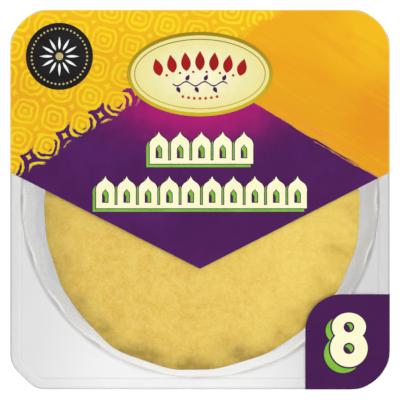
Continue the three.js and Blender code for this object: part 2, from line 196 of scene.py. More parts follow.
# Inks: the darker and the lighter colour of each, and the size of its patches in millimetres
INKS = {
    "green": ((118, 188, 48), (134, 204, 62), 9),
    "cream": ((252, 249, 206), (254, 252, 216), 9),
    "purple": ((72, 26, 84), (82, 31, 94), 9),
    "patch": ((73, 27, 84), (77, 31, 89), 20),
    "red": ((158, 14, 26), (176, 20, 32), 9),
    "rust": ((196, 62, 30), (214, 78, 36), 9),
    "charcoal": ((33, 31, 32), (41, 39, 40), 9),
    "bronze": ((186, 170, 112), (208, 192, 132), 3),
    "white": ((246, 246, 246), (252, 252, 252), 9),
}
STUDIO_LIGHT = 1.15  # how bright a white that faces up is
GLOSS = 0.012  # what an ink's gloss adds
FILM_FACE_GLOSS = 0.024  # the share that the film mirrors when it is faced, which is left out

# Studio, in metres
FLOOR_HALF = 3
FLOOR_GLOW = 0.9
LIGHTS = {  # place, size and power
    "key": ((0.32, 0.22, 1.4), (1.5, 1.5), 15.3),
    "fill": ((-0.25, -0.55, 1.6), (1.4, 1.4), 8.4),
}
LIT_PLACE = (0, 0, 0.03)
SKY = {  # its light by the height that it comes from
    "From Min": 0.7, "From Max": 0.95, "To Min": 0.47, "To Max": 0.12,
}
CAMERA_PLACE = (0.00002, -0.00018, 1.638)
CAMERA_LENS = 303.8
SENSOR_WIDTH = 36


def srgb(r, g, b):
    """A colour of 0 to 255 as the linear values that shaders take."""
    def linear(c):
        c /= 255
        return c / 12.92 if c <= 0.04045 else ((c + 0.055) / 1.055) ** 2.4

    return (linear(r), linear(g), linear(b), 1)


def ink(r, g, b):
    """The colour of an ink that looks like this one under the studio light, gloss included."""
    return (*[max(c - GLOSS, 0.002) / STUDIO_LIGHT for c in srgb(r, g, b)[:3]], 1)


# Meshes

def link(name, data):
    """An object of the scene that holds the data."""
    made = bpy.data.objects.new(name, data)
    bpy.context.scene.collection.objects.link(made)
    return made


def piece(name, points, faces, material, smooth, node=None):
    """A mesh from points in millimetres that rides on the pack and can stand for a solid of the model."""
    mesh = bpy.data.meshes.new(name)
    mesh.from_pydata((np.asarray(points, float) * MM).tolist(), [], faces)
    mesh.polygons.foreach_set("use_smooth", [smooth] * len(mesh.polygons))
    mesh.materials.append(material)
    mesh.update()
    made = link(name, mesh)
    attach(made, "root")
    if node:
        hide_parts(node)
    return made


def mark_points(made, name, values):
    """Give every point of a piece a value that its material reads."""
    attribute = made.data.attributes.new(name, "FLOAT", "POINT")
    attribute.data.foreach_set("value", np.array(values, np.float32))


def skin(loops, first, last):
    """Points and faces of a closed skin over loops of equal length, between two middle points."""
    loops = np.asarray(loops, float)
    rows, count = loops.shape[:2]
    points = np.vstack([[first], loops.reshape(-1, 3), [last]])
    here = np.arange(count)
    after = (here + 1) % count
    faces = np.column_stack([np.zeros(count, int), 1 + here, 1 + after]).tolist()
    for row in range(rows - 1):
        a = 1 + row * count
        b = a + count
        faces += np.column_stack([a + here, b + here, b + after, a + after]).tolist()
    a = 1 + (rows - 1) * count
    end = len(points) - 1
    faces += np.column_stack([a + here, np.full(count, end), a + after]).tolist()
    return points, faces


def plate(outline, holes, z, thickness):
    """Points and faces of a thin flat plate of an outline with holes."""
    rings = [outline, *holes]
    corners = [[Vector((x, y, 0)) for x, y in ring] for ring in rings]
    flat = sum(corners, [])
    count = len(flat)
    points = [(p.x, p.y, z + thickness) for p in flat] + [(p.x, p.y, z) for p in flat]
    faces = []
    for a, b, c in tessellate_polygon(corners):
        turn = (flat[b] - flat[a]).cross(flat[c] - flat[a]).z
        up = (a, b, c) if turn > 0 else (a, c, b)
        faces.append(up)
        faces.append(tuple(count + i for i in reversed(up)))
    start = 0
    for ring in rings:
        area = sum(p[0] * q[1] - q[0] * p[1] for p, q in zip(ring, ring[1:] + ring[:1]))
        outward = (area > 0) == (start == 0)
        for i in range(len(ring)):
            a = start + i
            b = start + (i + 1) % len(ring)
            side = (a, count + a, count + b, b)
            faces.append(side if outward else side[::-1])
        start += len(ring)
    return points, faces


def plates(name, shapes, layer, material, node=None, thickness=INK / 2):
    """A printed piece on a layer over the film: flat plates, each an outline and a list of its holes."""
    z = TRAY_HEIGHT + FILM + layer * INK
    points = []
    faces = []
    for outline, holes in shapes:
        more_points, more_faces = plate(outline, holes, z, thickness)
        faces += [tuple(len(points) + i for i in face) for face in more_faces]
        points += more_points
    piece(name, points, faces, material, False, node)


def smooth_step(x):
    x = np.clip(x, 0, 1)
    return x * x * (3 - 2 * x)


def soft_noise(x, y, cell, seed):
    """Smooth noise from -1 to 1 with features about as large as cell."""
    side = 256
    grid = np.random.RandomState(seed).uniform(-1, 1, (side, side))
    u = np.asarray(x) / cell + side / 2
    v = np.asarray(y) / cell + side / 2
    i = np.floor(u).astype(int)
    j = np.floor(v).astype(int)
    s = smooth_step(u - i)
    t = smooth_step(v - j)
    low, high = [
        grid[i % side, k % side] * (1 - s) + grid[(i + 1) % side, k % side] * s for k in (j, j + 1)
    ]
    return low * (1 - t) + high * t


# Node materials

class Term:
    """A value in a shader that can be added, multiplied and so on like a number."""

    def __init__(self, shader, socket):
        self.shader = shader
        self.socket = socket

    def __add__(self, other):
        return self.shader.math("ADD", self, other)

    def __sub__(self, other):
        return self.shader.math("SUBTRACT", self, other)

    def __rsub__(self, other):
        return self.shader.math("SUBTRACT", other, self)

    def __mul__(self, other):
        return self.shader.math("MULTIPLY", self, other)

    def __truediv__(self, other):
        return self.shader.math("DIVIDE", self, other)

    def __abs__(self):
        return self.shader.math("ABSOLUTE", self)


class Shader:
    """Builds a material's nodes with short calls. Its place is in millimetres in the pack's own frame."""

    def __init__(self, name):
        self.material = bpy.data.materials.new(name)
        self.material.use_nodes = True
        self.tree = self.material.node_tree
        self.base = self.tree.nodes["Principled BSDF"]
        self.output = self.tree.nodes["Material Output"]
        scaled = self.node("ShaderNodeVectorMath", operation="SCALE")
        self.join(self.node("ShaderNodeTexCoord").outputs["Object"], scaled.inputs[0])
        scaled.inputs["Scale"].default_value = 1 / MM
        self.place = scaled.outputs[0]

    def node(self, kind, **settings):
        made = self.tree.nodes.new(kind)
        for key, value in settings.items():
            setattr(made, key, value)
        return made

    def join(self, value, socket):
        if isinstance(value, Term):
            value = value.socket
        if isinstance(value, bpy.types.NodeSocket):
            self.tree.links.new(value, socket)
        else:
            socket.default_value = value

    def math(self, operation, *values):
        made = self.node("ShaderNodeMath", operation=operation)
        for value, socket in zip(values, made.inputs):
            self.join(value, socket)
        return Term(self, made.outputs[0])

    def larger(self, a, b):
        return self.math("MAXIMUM", a, b)

    def length(self, x, y):
        return self.math("SQRT", x * x + y * y)

    def norm(self, x, y, power):
        """A length whose circles are rounded squares for a power over 2 and stars for one under 1."""
        return self.math("POWER", self.math("POWER", x, power) + self.math("POWER", y, power), 1 / power)

    def xyz(self, vector):
        made = self.node("ShaderNodeSeparateXYZ")
        self.join(vector, made.inputs[0])
        return [Term(self, output) for output in made.outputs]

    def shaken(self, size, amount):
        """The place moved about at random by up to about amount."""
        off = self.node("ShaderNodeVectorMath", operation="SUBTRACT")
        self.join(self.noise_node(size, 2, 0.55).outputs["Color"], off.inputs[0])
        off.inputs[1].default_value = (0.5, 0.5, 0.5)
        moved = self.node("ShaderNodeVectorMath", operation="MULTIPLY_ADD")
        self.join(off.outputs[0], moved.inputs[0])
        moved.inputs[1].default_value = (4 * amount, 4 * amount, 0)
        self.join(self.place, moved.inputs[2])
        return moved.outputs[0]

    def along(self, turn, stretch):
        """The place turned about Z and drawn out along X, for strokes."""
        made = self.node("ShaderNodeMapping", vector_type="TEXTURE")
        self.join(self.place, made.inputs["Vector"])
        made.inputs["Rotation"].default_value = (0, 0, turn * DEGREE)
        made.inputs["Scale"].default_value = (stretch, 1, 1)
        return made.outputs[0]

    def noise_node(self, size, detail, roughness, vector=None):
        made = self.node("ShaderNodeTexNoise")
        self.join(vector or self.place, made.inputs["Vector"])
        made.inputs["Scale"].default_value = 1 / size
        made.inputs["Detail"].default_value = detail
        made.inputs["Roughness"].default_value = roughness
        return made

    def noise(self, size, detail=3, roughness=0.55, vector=None):
        """Noise from 0 to 1 whose features are about size millimetres."""
        return Term(self, self.noise_node(size, detail, roughness, vector).outputs["Fac"])

    def ramp(self, value, low, high, to_low=0.0, to_high=1.0):
        """A smooth rise from to_low where value is low to to_high where it is high."""
        made = self.node("ShaderNodeMapRange", interpolation_type="SMOOTHSTEP")
        names = ("Value", "From Min", "From Max", "To Min", "To Max")
        for name, given in zip(names, (value, low, high, to_low, to_high)):
            self.join(given, made.inputs[name])
        return Term(self, made.outputs[0])

    def mix(self, factor, a, b):
        made = self.node("ShaderNodeMix", data_type="RGBA")
        self.join(factor, made.inputs[0])
        self.join(a, made.inputs[6])
        self.join(b, made.inputs[7])
        return made.outputs[2]

    def facing(self):
        """0 where a surface faces the eye and 1 at its outline."""
        return Term(self, self.node("ShaderNodeLayerWeight").outputs["Facing"])

    def marked(self, name):
        return Term(self, self.node("ShaderNodeAttribute", attribute_name=name).outputs["Fac"])

    def bump(self, height, distance, strength):
        """Relief of a height from 0 to 1 over distance millimetres."""
        made = self.node("ShaderNodeBump")
        made.inputs["Distance"].default_value = distance * MM
        made.inputs["Strength"].default_value = strength
        self.join(height, made.inputs["Height"])
        self.join(made.outputs[0], self.base.inputs["Normal"])

    def finish(self, colour, roughness, **sockets):
        """Join the last values to the base shader, whose other sockets are named with _ for a space."""
        self.join(colour, self.base.inputs["Base Color"])
        self.join(roughness, self.base.inputs["Roughness"])
        for name, value in sockets.items():
            self.join(value, self.base.inputs[name.replace("_", " ")])
        return self.material


def plastic_material():
    """Clear sheet: pale on the flange, drawn thin down the wall, with painted shade at its sides and along
    its edges.

    The mark called edge is painted shade over 0, where the sheet is drawn darker and more solid, and
    painted light under 0, where it is drawn clearer.
    """
    s = Shader("tray_plastic")
    x, y, z = s.xyz(s.place)
    shade, bright = srgb(195, 195, 196), srgb(231, 231, 232)
    deep, edge_shade_grey = srgb(190, 204, 226), srgb(120, 120, 122)

    # Painted shade: darker to the left and right, and grey along the edges but for the front one. Bluer
    # down the wall, to offset the yellow light that the papadums throw on it
    light = s.ramp(x, -88, -38, 0.38, 1) * s.ramp(x, 12, 80, 1, 0.02) + (s.noise(24, 2) - 0.5) * 0.06
    colour = s.mix(light, shade, bright)
    colour = s.mix(s.ramp(z, 32, 36.5, 0.65, 0), colour, deep)
    edge = s.marked("edge") * s.larger(s.ramp(y, -86, -66, 0.3, 1), s.ramp(y, -88.4, -87.6, 1, 0))
    colour = s.mix(edge * s.ramp(light, 0, 1, 0.8, 0.5), colour, edge_shade_grey)

    # Most solid on the flange, then at the foot and where it is seen at a slant; more so to the right and
    # less at the front, which paints shade on the right wall and light on the front one
    flange = s.ramp(z, 33, 37, 0.07, 0.6)
    foot = s.ramp(s.length(x, y), 71, 76, 0.07, 0.36) * s.ramp(z, 4, 8, 1, 0)
    grazing = s.ramp(s.facing(), 0.5, 1) * (s.ramp(y, -82, -45, 0.18, 0.42) + s.ramp(x, 30, 80, 0, 0.12))
    clearer = s.larger(s.marked("edge") * -1, 0)
    alpha = s.larger(s.larger(flange, foot), s.larger(grazing, edge * 0.5)) - clearer
    s.bump(s.noise(14, 2), 0.2, 0.25)
    return s.finish(colour, s.ramp(s.noise(5), 0.3, 0.7, 0.3, 0.36), Alpha=alpha)


def crisp_material():
    """Fried lentil crisp: mottled gold with fine pale blisters, with painted light to the right and
    painted shade to the left.

    The mark that it reads is painted shade in the dimples and the dents, and darkening along the rim, most
    on the side turned from the key light, where it is painted shade.
    """
    s = Shader("papadum")
    x, _, _ = s.xyz(s.place)
    gold, light_gold = srgb(213, 176, 60), srgb(218, 187, 75)
    blister, speck, pale_fleck = srgb(226, 201, 106), srgb(212, 163, 34), srgb(236, 212, 150)
    lit, shaded = srgb(236, 216, 112), srgb(190, 164, 88)
    olive_shade, warm_shade = srgb(164, 137, 60), srgb(188, 147, 44)

    # Broad patches, then ever finer ones
    colour = s.mix(s.ramp(s.noise(12, 3, 0.6), 0.36, 0.66), gold, light_gold)
    colour = s.mix(s.ramp(s.noise(3.4, 4, 0.7), 0.4, 0.62) * 0.5, colour, blister)
    colour = s.mix(s.ramp(s.noise(2.2, 2), 0.56, 0.7) * 0.42, colour, speck)
    colour = s.mix(s.ramp(s.noise(1.1, 4, 0.75), 0.38, 0.7) * 0.36, colour, pale_fleck)
    # Painted light to the right and painted shade to the left
    colour = s.mix(s.ramp(x, -20, 75, 0, 0.4), colour, lit)
    colour = s.mix(s.ramp(x, -75, -35, 0.16, 0), colour, shaded)

    # Painted shade from the mark, olive to the left and warmer to the right, in patches
    patchy = s.ramp(s.noise(9, 2), 0.38, 0.62, 0.68, 1.2)
    speckled = s.ramp(s.noise(3.2, 4, 0.65), 0.32, 0.68, 0.78, 1.22)
    shade_colour = s.mix(s.ramp(x, 15, 55), olive_shade, warm_shade)
    colour = s.mix(s.marked("painted_shade") * (patchy * speckled), colour, shade_colour)
    s.bump(s.noise(1.1, 4, 0.65) * 0.6 + s.noise(3.2), 0.35, 0.28)
    return s.finish(colour, s.ramp(s.noise(2), 0.3, 0.7, 0.6, 0.8), Specular_IOR_Level=0.25)


def film_material():
    """Clear film that shows only by its gloss at a slanting angle."""
    s = Shader("clear_film")
    clear = s.node("ShaderNodeBsdfTransparent")
    gloss = s.node("ShaderNodeBsdfGlossy")
    gloss.inputs["Roughness"].default_value = 0.12
    blend = s.node("ShaderNodeMixShader")
    glance = s.node("ShaderNodeFresnel")
    glance.inputs["IOR"].default_value = 1.35
    slanting = s.larger(Term(s, glance.outputs[0]) - FILM_FACE_GLOSS, 0)
    s.join(slanting * s.ramp(s.noise(18, 2), 0.3, 0.7, 0.6, 0.8), blend.inputs[0])
    s.join(clear.outputs[0], blend.inputs[1])
    s.join(gloss.outputs[0], blend.inputs[2])
    s.join(blend.outputs[0], s.output.inputs["Surface"])
    s.tree.nodes.remove(s.base)
    return s.material


def printed(s, colour):
    """The finish that all inks share: satin, over the slightly uneven film."""
    s.bump(s.noise(20, 2), 0.3, 0.25)
    return s.finish(colour, s.ramp(s.noise(7), 0.3, 0.7, 0.4, 0.46), Specular_IOR_Level=0.08)


def above_line(edge, x, y):
    """How far above an edge of the dark field a place is."""
    (ax, ay), (bx, by) = edge
    length = math.hypot(bx - ax, by - ay)
    nx, ny = -(by - ay) / length, (bx - ax) / length
    return x * nx + y * ny - (ax * nx + ay * ny)


def lattice(s, x, y):
    """How far out in its lattice cell a place is, and the lines: nested rounded squares, and stars."""
    turn = LATTICE_TURN * DEGREE
    inner = []
    corner = []
    for across, up in ((math.cos(turn), math.sin(turn)), (-math.sin(turn), math.cos(turn))):
        share = s.math("FRACT", (x * across + y * up) / LATTICE_CELL + 100)
        inner.append(abs(share - 0.5) * LATTICE_CELL)
        corner.append((0.5 - abs(share - 0.5)) * LATTICE_CELL)
    out = s.norm(*inner, 3.2)
    half = s.ramp(s.noise(3), 0.3, 0.7, 0.85, 1.15) * (LATTICE_LINE / 2)
    lines = s.ramp(out, LATTICE_DOT - 0.2, LATTICE_DOT + 0.2, 1, 0)
    lines = s.larger(lines, s.ramp(s.norm(*corner, 0.75), 1.5, 1.9, 1, 0))
    for at in LATTICE_RINGS:
        lines = s.larger(lines, s.ramp(abs(out - at) - half, -0.15, 0.15, 1, 0))
    return out, lines


def golden_ground(s, y, lines):
    """Gold with the lattice in yellow, yellower near the top."""
    top = s.ramp(y, 55, 90)
    gold = s.mix(s.ramp(s.noise(16), 0.35, 0.65), ink(239, 172, 34), ink(243, 184, 30))
    gold = s.mix(top * 0.7, gold, ink(250, 196, 32))
    strong = s.ramp(s.noise(11, 3, 0.6), 0.3, 0.62, 0.62, 0.95)
    return s.mix(lines * strong, gold, s.mix(top, ink(243, 217, 18), ink(252, 226, 16)))


def orange_ground(s, x, y, strokes):
    """Brushed orange, yellower in the upper corner and redder below it."""
    orange = s.mix(s.ramp(y, 38, 84), ink(235, 164, 23), ink(243, 174, 22))
    corner = s.length(x - 80, y - 78)
    orange = s.mix(s.ramp(corner, 4, 30, 0.9, 0), orange, ink(246, 192, 15))
    low = s.length((x - 84) * 1.2, y - 36)
    orange = s.mix(s.ramp(low, 6, 26, 0.9, 0), orange, ink(234, 150, 25))
    broad = s.noise(9, 3, 0.5, s.along(BRUSHED, 4))
    orange = s.mix(s.ramp(broad, 0.5, 0.68) * 0.45, orange, ink(238, 158, 26))
    return s.mix(s.ramp(strokes, 0.52, 0.74) * 0.3, orange, ink(249, 190, 40))


def dark_field(s, x, y):
    """Purple with a magenta glow under the badge."""
    dark = s.mix(s.ramp(s.noise(26), 0.35, 0.65), ink(79, 29, 90), ink(87, 34, 101))
    dark = s.mix(s.ramp(s.noise(1.2), 0.4, 0.7) * 0.06, dark, ink(120, 60, 130))
    away = s.length(x / 58, (y - 51) / 34) + (s.noise(7) - 0.5) * 0.35
    glow = s.ramp(away, 0.26, 1.3, 0.99, 0)
    return s.mix(glow * glow, dark, ink(180, 12, 118))


def from_film_edge(s, x, y):
    """How far outside the film's rounded outline a place is."""
    inner = HALF_SIDE - FILM_CORNER
    return s.length(s.larger(abs(x) - inner, 0), s.larger(abs(y) - inner, 0)) - FILM_CORNER


def lid_material():
    """The printed lid: a golden ground with a lattice, brushed orange at its right, a dark field, and a
    painted highlight along its outer edge.
    """
    s = Shader("lid_print")
    x, y, _ = s.xyz(s.place)
    u, v, _ = s.xyz(s.shaken(4.5, 0.6))
    out, lines = lattice(s, u, v)
    strokes = s.noise(1.5, 4, 0.6, s.along(BRUSHED, 9))
    fine = s.noise(0.9, 4, 0.65, s.along(BRUSHED, 14))
    right = above_line(RIGHT_EDGE, x, y)
    left = above_line(LEFT_EDGE, x, y)

    # Gold to the left and orange to the right of a brushed border, with flecks along the right edge
    border = x - (y * 1.5 - 96.9) + (strokes - 0.5) * 26
    orange = orange_ground(s, x, y, strokes)
    ground = s.mix(s.ramp(border, -1.5, 1.5), golden_ground(s, y, lines), orange)
    flecks = s.ramp(right, 0, 8, 1, 0) * s.ramp(fine, 0.56, 0.66) * s.ramp(x, 18, 24)
    ground = s.mix(flecks * s.ramp(right, -4, -1), ground, ink(232, 132, 92))

    # The dark field under both edges: the right one brushed, the left one torn along the lattice
    torn = left + (3.4 - out) * 1.1 + (s.noise(2.2) - 0.5) * 3.5
    inside = s.ramp(right + (fine - 0.5) * 6, -0.3, 0.3, 1, 0) * s.ramp(torn, -0.25, 0.25, 1, 0)
    trim = lines * s.ramp(left + (s.noise(6) - 0.5) * 8, -5, -3) * s.ramp(x, -32, -26, 1, 0)
    dark = s.mix(trim, dark_field(s, x, y), ink(240, 208, 26))
    colour = s.mix(inside, ground, dark)
    # A painted highlight along the film's rounded outer edge
    edge_highlight = s.ramp(from_film_edge(s, x, y), -0.8, -0.2) * 0.55
    return printed(s, s.mix(edge_highlight, colour, ink(250, 226, 150)))


def ink_material(name):
    """A plain ink, slightly patchy."""
    low, high, size = INKS[name]
    s = Shader(f"{name}_print")
    return printed(s, s.mix(s.ramp(s.noise(size), 0.3, 0.7), ink(*low), ink(*high)))


def badge_material():
    """Cream, a little more yellow towards the badge's edge."""
    s = Shader("badge_print")
    x, y, _ = s.xyz(s.place)
    away = s.length((x - BADGE[0]) / BADGE_HALF[0], (y - BADGE[1]) / BADGE_HALF[1])
    colour = s.mix(s.ramp(away, 0.1, 0.95), ink(250, 247, 212), ink(240, 232, 158))
    return printed(s, s.mix(s.ramp(s.noise(4), 0.4, 0.7) * 0.2, colour, ink(232, 222, 140)))


def rim_material():
    """The badge's rim: yellow below, olive above."""
    s = Shader("badge_rim_print")
    _, y, _ = s.xyz(s.place)
    up = s.ramp(y, BADGE[1] - BADGE_HALF[1], BADGE[1] + BADGE_HALF[1])
    colour = s.mix(up, ink(224, 196, 26), ink(166, 142, 34))
    return printed(s, s.mix(s.noise(3) * 0.3, colour, ink(120, 100, 20)))


def floor_material():
    s = Shader("floor")
    colour = s.mix(s.noise(60, 2), srgb(128, 128, 128), srgb(134, 134, 134))
    return s.finish(colour, 0.7, Emission_Color=(1, 1, 1, 1), Emission_Strength=FLOOR_GLOW)


# Tray

def flange_radius(angles, inset):
    """How far the flange's outline, drawn in by inset, lies from the middle."""
    half = HALF_SIDE - inset
    leg = CHAMFER - inset * (2 - math.sqrt(2))
    turn = max(CHAMFER_ROUND - inset, LEAST_ROUND)
    quarter = angles % (90 * DEGREE)
    folded = np.minimum(quarter, 90 * DEGREE - quarter)
    c, s = np.cos(folded), np.sin(folded)
    arc_y = half - leg - turn * math.tan(22.5 * DEGREE)
    arc_x = half - turn
    side = half / c
    cut = (2 * half - leg) / (c + s)
    along = arc_x * c + arc_y * s
    arc = along + np.sqrt(np.maximum(along**2 - arc_x**2 - arc_y**2 + turn**2, 0))
    on_side = side * s <= arc_y
    on_cut = cut * s >= arc_y + turn * math.sqrt(0.5)
    return np.where(on_side, side, np.where(on_cut, cut, arc))


def rib_share(angles):
    return ((1 + np.cos(RIBS * angles)) / 2) ** RIB_NARROWING


def well_radius(angles, z):
    t = np.clip((z - FOOT_BEVEL) / (WALL_TOP - FOOT_BEVEL), 0, 1)
    wall = WELL_BOTTOM + (WELL_TOP - WELL_EDGE - WELL_BOTTOM) * t
    depth = RIB_DEPTH_BOTTOM + (RIB_DEPTH_TOP - RIB_DEPTH_BOTTOM) * t
    return wall - depth * rib_share(angles) * smooth_step((WALL_TOP - z) / RIB_FADE)


def base_rows():
    """The raised panel, the slope round it and the foot ring."""
    panel = PANEL_RAISE + PLASTIC
    rows = [(radius, panel, 0) for radius in PANEL_LOOPS]
    for t in np.linspace(0, 1, 7):
        radius = PANEL_RADIUS - PANEL_SOFT + (FOOT_INNER - PANEL_RADIUS + 2 * PANEL_SOFT) * t
        rows.append((radius, panel - PANEL_RAISE * smooth_step(t), 0))
    return rows + [(radius, PLASTIC, 0) for radius in FOOT_LOOPS]


def wall_rows(angles, thick):
    """The foot's rounded edge, the fluted wall, and the rounded edge of the well's rim."""
    foot = FOOT_OUTER - PLASTIC + thick
    corner = well_radius(angles, FOOT_BEVEL) + thick
    rows = []
    for turn in QUARTER_TURN:
        radius = foot + (corner - foot) * math.sin(turn)
        rows.append((radius, PLASTIC + FOOT_BEVEL * (1 - math.cos(turn)), 0))
    fade = WALL_TOP - RIB_FADE
    for z in [*np.linspace(FOOT_BEVEL, fade, 11)[1:], *np.linspace(fade, WALL_TOP, 7)[1:]]:
        t = (z - FOOT_BEVEL) / (WALL_TOP - FOOT_BEVEL)
        # Painted shade on the flutes' tops, where they run out under the rim
        shading_mark = rib_share(angles) * smooth_step(1.5 * (z - fade) / RIB_FADE)
        rows.append((well_radius(angles, z) + thick, z + PLASTIC * (1 - t), shading_mark))
    rim = well_radius(angles, WALL_TOP)
    # The well's rim, drawn dark as painted shade
    for t in np.linspace(0, 1, 5)[1:]:
        out = thick * (1 - t) + WELL_EDGE * (1 - math.cos(t * 90 * DEGREE))
        rows.append((rim + out, WALL_TOP + WELL_EDGE * math.sin(t * 90 * DEGREE), RIM_SHADE))
    return rows


def flange_rows(angles, thick):
    """The corner platforms, the step up to the seal band, the band, and its edge turned down."""
    brink = well_radius(angles, WALL_TOP) + WELL_EDGE
    inner = BAND_WIDTH + STEP_RUN + STEP_SOFT - thick / 2
    run = STEP_RUN + 2 * STEP_SOFT
    step = np.maximum(flange_radius(angles, inner + FLAT), brink + LOOP_GAP)
    beside = np.minimum(brink + FLAT, (brink + step) / 2)
    beyond = np.minimum(beside + BESIDE_WIDTH, (beside + step) / 2)
    # Painted shade on the flange right beside the well's rim
    rows = [(beside, PLATFORM, BRINK_SHADE), (beyond, PLATFORM, 0), (step, PLATFORM, 0)]
    # The step up, drawn clearer as painted light
    for t in np.linspace(0, 1, 9):
        least = brink + 2 * LOOP_GAP + 3 * LOOP_GAP * t
        radius = np.maximum(flange_radius(angles, inner - run * t), least)
        rows.append((radius, PLATFORM + STEP * smooth_step(t), STEP_LIGHT * math.sin(t * math.pi)))
    for inset in (inner - run - FLAT, BAND_WIDTH / 2, LIP_ROUND + FLAT):
        rows.append((flange_radius(angles, inset), TRAY_HEIGHT, 0))
    # The edge turned down, drawn darker outwards as painted shade
    for turn in QUARTER_TURN:
        inset = LIP_ROUND * (1 - math.sin(turn)) + thick / 2 * math.cos(turn)
        z = TRAY_HEIGHT - LIP_ROUND * (1 - math.cos(turn))
        rows.append((flange_radius(angles, inset), z, math.sin(turn) ** 2))
    return rows


def tray_profile(angles, thick):
    """Loops of the tray's upper face from the middle outwards, or of its lower face, thick below it.

    Each loop is its radii, its height, and the mark of each of its points: painted shade over 0, painted
    light under 0.
    """
    rows = base_rows() + wall_rows(angles, thick) + flange_rows(angles, thick)
    return [(radius + 0 * angles, z - thick, shading_mark + 0 * angles) for radius, z, shading_mark in rows]


def tray_angles():
    """Even angles round the tray, and those at which its cut corners bend."""
    tangent = CHAMFER_ROUND * math.tan(22.5 * DEGREE)
    bends = [math.atan2(
        HALF_SIDE - CHAMFER - tangent + CHAMFER_ROUND * math.sin(t * DEGREE),
        HALF_SIDE - CHAMFER_ROUND + CHAMFER_ROUND * math.cos(t * DEGREE),
    ) for t in np.linspace(0, 45, 6)]
    bends += [90 * DEGREE - a for a in bends]
    bends = [a + quarter * 90 * DEGREE for quarter in range(4) for a in bends]
    even = (np.arange(TRAY_POINTS) + 0.5) * (360 / TRAY_POINTS) * DEGREE
    nearest = np.min(np.abs(even[:, None] - np.array(bends)[None, :]), axis=1)
    return np.sort(np.concatenate([even[nearest > 0.1 * DEGREE], bends]))


def build_tray(material):
    angles = tray_angles()
    rows = tray_profile(angles, 0) + tray_profile(angles, PLASTIC)[::-1]
    loops = [np.column_stack([r * np.cos(angles), r * np.sin(angles), np.full(len(angles), z)])
             for r, z, _ in rows]
    points, faces = skin(loops, (0, 0, PANEL_RAISE + PLASTIC), (0, 0, PANEL_RAISE))
    made = piece("tray_shell", points, faces, material, True, "tray")
    # The edge mark: painted shade along the rounded edges and the flutes' tops, painted light on the step
    mark_points(made, "edge", [0, *np.concatenate([shading_mark for _, _, shading_mark in rows]), 0])


# Papadums

def turned(number, angle):
    return angle - TURN * DEGREE * (PAPADUMS - number)


def rim_at(number, angle):
    """A rim at an angle: its corners' radius, the side's width in degrees, and the share of its dip."""
    first, first_radius = RIM_CORNERS[0]
    at, radii = np.array([*RIM_CORNERS, (first + 360, first_radius)], float).T
    degrees = (turned(number, angle) / DEGREE - first) % 360 + first
    after = np.clip(np.searchsorted(at, degrees, side="right"), 1, len(RIM_CORNERS))
    width = at[after] - at[after - 1]
    share = (degrees - at[after - 1]) / width
    radius = radii[after - 1] + (radii[after] - radii[after - 1]) * smooth_step(share)
    return radius, width, (1 - np.cos(2 * math.pi * share)) / 2


def disc_radius(number, angle):
    radius, width, dip = rim_at(number, angle)
    drawn = radius * (1 - SIDE_DRAW * (1 - np.cos(width / 2 * DEGREE)) * dip)
    return drawn if number == PAPADUMS else LOWER_RADIUS + LOWER_BULGE * (drawn - TOP_RADIUS)


def flute_envelope(share):
    inner = smooth_step((share - FLUTE_START) / (FLUTE_PEAK - FLUTE_START))
    return inner * (1 - (1 - FLUTE_AT_EDGE) * smooth_step((share - FLUTE_PEAK) / (1 - FLUTE_PEAK)))


def disc_wave(number, share, angle):
    """Height of a papadum's middle surface: it droops, sways, curls down at its edge and is puckered."""
    a = turned(number, angle)
    broad = SADDLE * np.cos(2 * a + 1) + LOBE_WAVE * np.cos(3 * a - 0.5)
    curl = CURL * np.clip((share - CURL_START) / (1 - CURL_START), 0, 1) ** 1.6
    _, width, dip = rim_at(number, angle)
    flutes = FLUTE_HEIGHT * flute_envelope(share) * (1 - 2 * dip * width / FLUTE_WIDTH)
    return -DROOP * share**2.5 - curl + broad * share**2 + flutes


def disc_shift(number):
    return BOTTOM_SHIFT + (TOP_SHIFT - BOTTOM_SHIFT) * (number - 1) / (PAPADUMS - 1)


def disc_height_at(number, x, y):
    """Height of a papadum's middle surface over its resting height, or nan beside it."""
    dx, dy = x - disc_shift(number)[0], y - disc_shift(number)[1]
    angle = np.arctan2(dy, dx)
    share = np.hypot(dx, dy) / disc_radius(number, angle)
    return np.where(share > 1, np.nan, disc_wave(number, np.minimum(share, 1), angle))


def resting_heights():
    """The papadums' heights when each is let down on the one below it until the least gap is left."""
    radius, angle = np.meshgrid(np.arange(0, TOP_RADIUS + 3, 1.5), np.arange(0, 360, 2) * DEGREE)
    x, y = radius * np.cos(angle), radius * np.sin(angle)
    base = PLASTIC + np.where(radius < FOOT_INNER, PANEL_RAISE, 0) - DISC_THICKNESS / 2
    heights = []
    for number in range(1, PAPADUMS + 1):
        under = heights[-1] + disc_height_at(number - 1, x, y) if heights else base
        gap = RESTING_GAP if heights else BASE_GAP
        heights.append(np.nanmax(under - disc_height_at(number, x, y)) + DISC_THICKNESS + gap)
    return heights


def blisters(x, y, seed):
    """Small raised blisters scattered over a disc."""
    random = np.random.RandomState(seed)
    height = np.zeros_like(x)
    for _ in range(BLISTERS):
        far = TOP_RADIUS * math.sqrt(random.uniform(0, 0.96))
        way = random.uniform(0, 2 * math.pi)
        size = random.uniform(*BLISTER_SIZE)
        tall = random.uniform(*BLISTER_RISE) * size / 2
        near = ((x - far * math.cos(way)) ** 2 + (y - far * math.sin(way)) ** 2) / size**2
        height += tall * np.exp(-2 * near)
    return height


def dents(x, y):
    """How deep in one of the top papadum's dents a place is, from 0 to 1."""
    deepest = np.zeros_like(x)
    for way, share, length, width, deep in DENTS:
        c, s = math.cos(way * DEGREE), math.sin(way * DEGREE)
        along = (x * c + y * s - share * TOP_RADIUS) / (length / 2)
        across = (y * c - x * s) / (width / 2)
        deepest = np.maximum(deepest, deep * np.exp(-(along**2) - across**2))
    return deepest


